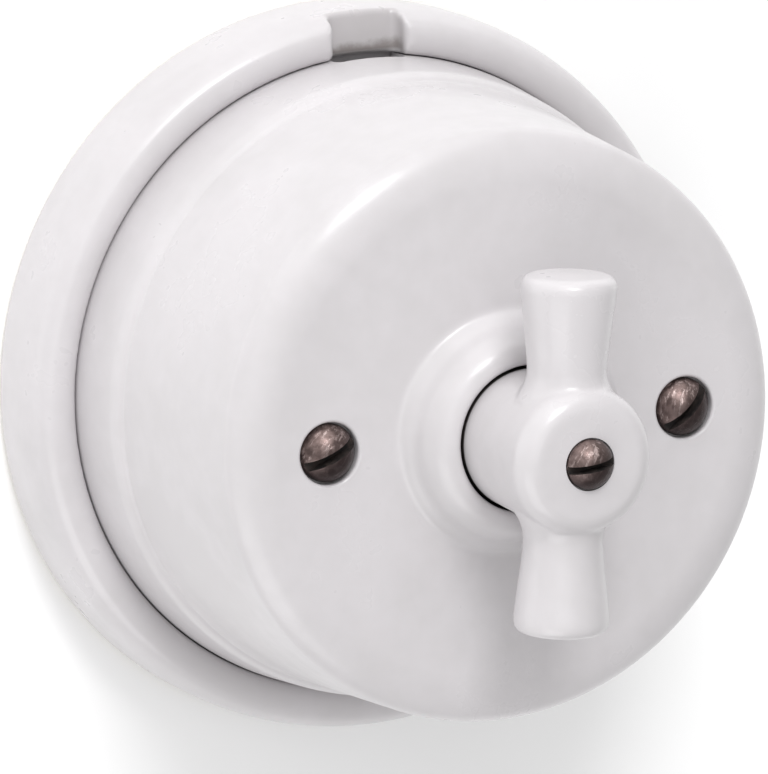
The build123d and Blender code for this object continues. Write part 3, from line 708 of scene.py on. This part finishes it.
def cutMouth(piece):
    # the cable's mouth in the cover's foot, with rounded upper corners
    c = cover
    nothingSelected()
    middle = (c["mouthShift"] * mm, -c["rimHeight"] * mm, (c["rimRadius"] - c["wall"] + past / 2) * mm)
    bpy.ops.mesh.primitive_cube_add(size=mm, location=middle)
    mouth = bpy.context.object
    mouth.scale = (c["mouthWidth"], 2 * c["mouthHeight"], 2 * c["wall"] + past)
    applyPlace()
    bpy.ops.object.mode_set(mode="EDIT")
    for side in (-1, 1):
        selectEdges(mouth, lambda p: p.y < middle[1] and (p.x - middle[0]) * side > 0)
        bpy.ops.mesh.bevel(offset=c["mouthCorner"] * mm, segments=4)
    bpy.ops.object.mode_set(mode="OBJECT")
    combine(piece, mouth)


def keepFaceFlat(piece):
    # the face keeps its own flat shading where it meets the screw recesses
    c = cover
    faceLevel, levelSlack = -c["height"] * mm, 0.004 * mm
    reach = (c["recess"] + 2 * c["recessEdge"]) * mm
    pickOnly(piece)
    bpy.ops.object.mode_set(mode="EDIT")
    selectEdges(piece, lambda p: abs(p.y - faceLevel) <= levelSlack
                and sqrt((abs(p.x) - c["screwX"] * mm) ** 2 + p.z ** 2) < reach)
    bpy.ops.mesh.mark_sharp()
    bpy.ops.object.mode_set(mode="OBJECT")


coverPiece = makeCover()
dress(coverPiece, "coverPorcelain")
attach(coverPiece, "switch")
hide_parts("cover")
describe("cover made:", coverPiece)


# Handle: a turned hub with two flared arms, made one soft form

knob = {
    "stem": 7.1, "foot": 38.4, "footEdge": 0.5, "hubHeight": 58.4, "belly": 7.4, "faceRound": 2.3,
    "roundness": 0.55, "flare": 45.2, "barrelCurve": ((0.15, 3.0), (0.0, -2.2)),
    "axisHeight": 53.0, "reach": 18.1, "neck": 3.95, "tip": 4.75, "neckReach": 8.4, "blend": 1.2,
    "blendReach": 3.0, "blendCurve": ((-0.8, 1.2), (0.0, -1.0)), "armCurve": ((0.04, 2.2), (-0.24, -3.04)),
    "tipReach": 1.56, "endInset": 1.2, "endDrop": 0.25, "endCurve": ((0.0, 0.72), (0.9, -0.05)),
    "bore": 3.0, "boreTop": 54.8, "screwHole": 1.5, "recess": 2.65, "recessDepth": 0.6,
    "turn": 2.8, "hubTurns": 128, "armTurns": 96, "grain": 0.19, "softness": 10, "smoothAngle": 50,
}


def makeKnob():
    k = knob
    stem, foot, top, edge = k["stem"], k["foot"], k["hubHeight"], k["footEdge"]
    flare = (stem, k["flare"])
    belly = (k["belly"], top - k["faceRound"])
    face = (k["belly"] - k["faceRound"], top)
    footFrom, footTo = (stem - edge, foot), (stem, foot + edge)
    handle, footHandle = k["roundness"] * k["faceRound"], k["roundness"] * edge
    piece = turnedPiece("porcelainKnob", outlineFrom(
        (0, foot), footFrom, softCurve(footFrom, footTo, ((footHandle, 0), (0, -footHandle)), 5),
        flare, softCurve(flare, belly, k["barrelCurve"], 8),
        softCurve(belly, face, ((0, handle), (handle, 0)), 14), (0, top)), k["hubTurns"])
    root = (k["neck"] + k["blend"], k["neckReach"] - k["blendReach"])
    neck = (k["neck"], k["neckReach"])
    tip = (k["tip"], k["reach"] - k["tipReach"])
    end = (k["tip"] - k["endInset"], k["reach"] - k["endDrop"])
    arm = outlineFrom(
        (0, 0), (root[0], 0), root, softCurve(root, neck, k["blendCurve"], 8),
        softCurve(neck, tip, k["armCurve"], 12), softCurve(tip, end, k["endCurve"], 8), (0, k["reach"]))
    for turn in (pi / 2, -pi / 2):
        part = turnedPiece("arm", arm, k["armTurns"])
        part.rotation_euler = (turn, 0, 0)
        part.location = (0, -k["axisHeight"] * mm, 0)
        applyPlace()
        combine(piece, part, "UNION")
    drill(piece, (0, 0), k["bore"], foot - past, k["boreTop"])
    drill(piece, (0, 0), k["screwHole"], foot - past, top + past)
    softClay(piece, k["grain"], k["softness"])
    drill(piece, (0, 0), k["recess"], top - k["recessDepth"], top + past)
    smoothByAngle(piece, k["smoothAngle"])
    piece.rotation_euler = (0, radians(k["turn"]), 0)
    applyPlace()
    return piece


knobPiece = makeKnob()
dress(knobPiece, "knobPorcelain")
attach(knobPiece, "handle")
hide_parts("knob")
describe("knob made:", knobPiece)


# Dome-head screws, each with its own slot turn

screws = {
    "rim": 0.7, "seatEdge": 0.15, "tipEdge": (0.3, 0.5), "domeRows": 14, "turns": 72,
    "slotDepth": 1.7, "slotEdge": 0.07, "slotEdgeAngle": 38, "slotReach": 1.2, "smoothAngle": 40,
    "places": [
        {"name": "coverScrewLeft", "at": (-19.7, 0.0), "seat": 39.5, "head": 2.95, "dome": 2.0,
         "shank": 1.75, "foot": 27.5, "turn": 23.0, "slotWidth": 0.95,
         "body": "switch", "metal": "screwBronzeLeft"},
        {"name": "coverScrewRight", "at": (19.7, 0.0), "seat": 39.5, "head": 2.95, "dome": 2.0,
         "shank": 1.75, "foot": 27.5, "turn": 42.0, "slotWidth": 0.9,
         "body": "switch", "metal": "screwBronzeRight"},
        {"name": "knobScrew", "at": (0.0, 0.0), "seat": 57.8, "head": 2.5, "dome": 1.7,
         "shank": 1.5, "foot": 46.8, "turn": 7.0, "slotWidth": 0.75,
         "body": "handle", "metal": "knobScrewBronze"},
    ],
}


def makeScrew(spec):
    s = screws
    head, shank, foot, seat = spec["head"], spec["shank"], spec["foot"], spec["seat"]
    rimTop = seat + s["rim"]
    top = rimTop + spec["dome"]
    ball = (head ** 2 + spec["dome"] ** 2) / (2 * spec["dome"])
    edgeAngle = atan(head / (ball - spec["dome"]))
    dome = []
    for row in range(1, s["domeRows"]):
        angle = edgeAngle * (1 - row / s["domeRows"])
        dome.append((ball * sin(angle), top - ball + ball * cos(angle)))
    tipIn, tipUp = s["tipEdge"]
    piece = turnedPiece(spec["name"], outlineFrom(
        (0, foot), (shank - tipIn, foot), (shank, foot + tipUp), (shank, seat),
        (head - s["seatEdge"], seat), (head, seat + s["seatEdge"]), (head, rimTop), dome, (0, top)),
        s["turns"], spec["at"])
    cutSlot(piece, spec, rimTop, top)
    bevel = piece.modifiers.new("slotEdge", "BEVEL")
    bevel.width = s["slotEdge"] * mm
    bevel.segments = 2
    bevel.limit_method = "ANGLE"
    bevel.angle_limit = radians(s["slotEdgeAngle"])
    applyModifiers(piece)
    smoothByAngle(piece, s["smoothAngle"])
    return piece


def cutSlot(piece, spec, rimTop, top):
    s = screws
    nothingSelected()
    x, z = spec["at"]
    turn = radians(spec["turn"])
    bpy.ops.mesh.primitive_cube_add(size=mm, location=(0, 0, 0))
    blade = bpy.context.object
    blade.scale = (spec["head"] * 3, s["slotDepth"] * 2, spec["slotWidth"])
    blade.rotation_euler = (0, -turn, 0)
    blade.location = (x * mm, -top * mm, z * mm)
    applyPlace()
    dress(piece, spec["metal"], "slotNearBlack")
    combine(piece, blade)
    # the walls and the floor of the slot get the near-black finish
    across = Vector((-sin(turn), 0, cos(turn)))
    middle = Vector((x * mm, 0, z * mm))
    halfSlot = spec["slotWidth"] * 0.502 * mm
    lowest, highest = (rimTop - s["slotReach"]) * mm, (top - 0.02) * mm
    for face in piece.data.polygons:
        height = -face.center.y
        inSlot = abs((face.center - middle).dot(across)) < halfSlot and lowest < height < highest
        flat = abs(face.normal.dot(across)) > 0.9 or face.normal.y < -0.999
        face.material_index = 1 if inSlot and flat else 0


for spec in screws["places"]:
    screwPiece = makeScrew(spec)
    describe(spec["name"], screwPiece)
    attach(screwPiece, spec["body"])
    if spec["name"] == "coverScrewLeft":
        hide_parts("cover_screws")
    if spec["name"] == "knobScrew":
        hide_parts("knob_screw")
print("screws made:", len(screws["places"]))


# Finishes of the mechanism behind the cover

innerFinishes = {
    "pillars": "brass", "pillar_screws": "steel", "gasket": "fibre", "housing": "moulding",
    "housing_lid": "fibre", "strap": "steel", "mechanism_screws": "steel", "mechanism_nuts": "steel",
    "bush": "brass", "bush_nut": "brass", "contacts": "brass", "clamps": "steel",
    "terminal_screws": "brass", "detent_springs": "springSteel", "spindle": "brass",
    "spindle_ring": "springSteel", "rotor": "moulding", "bridge": "brass", "cam": "camPlastic",
}
for nodeName, finishName in innerFinishes.items():
    slots = nodes[nodeName].data.materials
    if not len(slots):
        slots.append(materials[finishName])
    for number in range(len(slots)):
        slots[number] = materials[finishName]
print("mechanism dressed:", len(innerFinishes), "nodes")


# Studio: a pale backdrop on the wall plane, soft lights and the camera

studio = {
    "backdropSize": 3.0, "holeRadius": 37.3, "backdropGap": 0.05, "paperScale": 40.0,
    "backdropColour": (0.95, 0.95, 0.95, 1.0), "backdropSpeckle": (0.96, 0.96, 0.96, 1.0),
    "worldColour": (1.0, 1.0, 1.0, 1.0), "worldStrength": 0.52, "lightsAim": (0, -0.02, 0),
    "lights": [
        {"name": "topSoftbox", "place": (0.0, -0.5, 1.6), "size": 1.4, "power": 9.5},
        {"name": "topLeftSoftbox", "place": (-1.0, -0.7, 1.25), "size": 1.4, "power": 5.0},
        {"name": "highSoftbox", "place": (-0.2, -1.3, 1.2), "size": 0.5, "power": 12.5},
        {"name": "frontSoftbox", "place": (-0.7, -1.8, 0.4), "size": 1.4, "power": 4.5},
        {"name": "lowSoftbox", "place": (-1.0, -0.9, -1.2), "size": 1.4, "power": 12.0},
    ],
}


def makeBackdrop():
    # open under the base, so that light reaches the base's back
    nothingSelected()
    bpy.ops.mesh.primitive_circle_add(vertices=96, radius=studio["holeRadius"] * mm,
                                      location=(0, studio["backdropGap"] * mm, 0), rotation=(pi / 2, 0, 0))
    backdrop = bpy.context.object
    backdrop.name = "backdrop"
    applyPlace()
    bpy.ops.object.mode_set(mode="EDIT")
    bpy.ops.mesh.select_all(action="SELECT")
    bpy.ops.mesh.extrude_edges_move(TRANSFORM_OT_translate={"value": (0, 0, 0)})
    grow = studio["backdropSize"] / (2 * studio["holeRadius"] * mm)
    bpy.ops.transform.resize(value=(grow, 1, grow), center_override=(0, 0, 0))
    bpy.ops.object.mode_set(mode="OBJECT")
    if backdrop.data.polygons[0].normal.y > 0:
        bpy.ops.object.mode_set(mode="EDIT")
        bpy.ops.mesh.select_all(action="SELECT")
        bpy.ops.mesh.flip_normals()
        bpy.ops.object.mode_set(mode="OBJECT")
    backdrop.data.materials.append(backdropMaterial())


def backdropMaterial():
    # matt paper from the front, clear from behind
    material, tree, shader = startMaterial("backdropPaper")
    place = addNode(tree, "ShaderNodeTexCoord").outputs["Object"]
    paper = noiseNode(tree, place, studio["paperScale"], 2.0, 0.5)
    connect(tree, mixColours(tree, paper, studio["backdropColour"], studio["backdropSpeckle"]),
            shader.inputs["Base Color"])
    shader.inputs["Roughness"].default_value = 0.9
    shader.inputs["Specular IOR Level"].default_value = 0.0
    clear = addNode(tree, "ShaderNodeBsdfTransparent")
    mixed = addNode(tree, "ShaderNodeMixShader")
    feed(tree, mixed.inputs, (addNode(tree, "ShaderNodeNewGeometry").outputs["Backfacing"],
                              shader.outputs["BSDF"], clear.outputs["BSDF"]))
    connect(tree, mixed.outputs["Shader"], tree.nodes["Material Output"].inputs["Surface"])
    return material


def areaLight(name, place, size, power):
    light = bpy.data.lights.new(name, "AREA")
    light.shape = "SQUARE"
    light.size = size
    light.energy = power
    lamp = bpy.data.objects.new(name, light)
    bpy.context.scene.collection.objects.link(lamp)
    lamp.location = place
    lamp.rotation_euler = (Vector(studio["lightsAim"]) - Vector(place)).to_track_quat("-Z", "Y").to_euler()


makeBackdrop()
for softbox in studio["lights"]:
    areaLight(**softbox)
world = bpy.data.worlds.new("studioAir")
bpy.context.scene.world = world
world.use_nodes = True
air = world.node_tree.nodes["Background"]
air.inputs["Color"].default_value = studio["worldColour"]
air.inputs["Strength"].default_value = studio["worldStrength"]
scene = bpy.context.scene
scene.view_settings.view_transform = "Standard"
scene.view_settings.look = "None"
print("studio ready:", len(studio["lights"]), "lights")


view = {
    "imageWidth": 768, "imageHeight": 774, "azimuth": 24.9, "elevation": 12.08, "roll": -1.6,
    "distance": 788.7, "pixelsPerMm": 9.601, "originX": 334.5, "originY": 357.7, "sensor": 36.0,
    "clipStart": 0.01, "clipEnd": 20,
}


def makeCamera():
    v = view
    left, up, roll = radians(v["azimuth"]), radians(v["elevation"]), radians(v["roll"])
    back = Vector((-sin(left) * cos(up), -cos(left) * cos(up), sin(up)))
    right = Vector((cos(left), -sin(left), 0))
    upward = right.cross(-back)
    turnedRight = right * cos(roll) + upward * sin(roll)
    turnedUp = upward * cos(roll) - right * sin(roll)
    lens = bpy.data.cameras.new("photoCamera")
    camera = bpy.data.objects.new("photoCamera", lens)
    scene.collection.objects.link(camera)
    turn = Matrix((turnedRight, turnedUp, back)).transposed()
    camera.matrix_world = Matrix.Translation(back * v["distance"] * mm) @ turn.to_4x4()
    longSide = max(v["imageWidth"], v["imageHeight"])
    lens.sensor_width = v["sensor"]
    lens.lens = v["pixelsPerMm"] * v["distance"] / longSide * v["sensor"]
    lens.shift_x = (v["imageWidth"] / 2 - v["originX"]) / longSide
    lens.shift_y = (v["originY"] - v["imageHeight"] / 2) / longSide
    lens.clip_start, lens.clip_end = v["clipStart"], v["clipEnd"]
    scene.camera = camera


makeCamera()
print("scene ready")
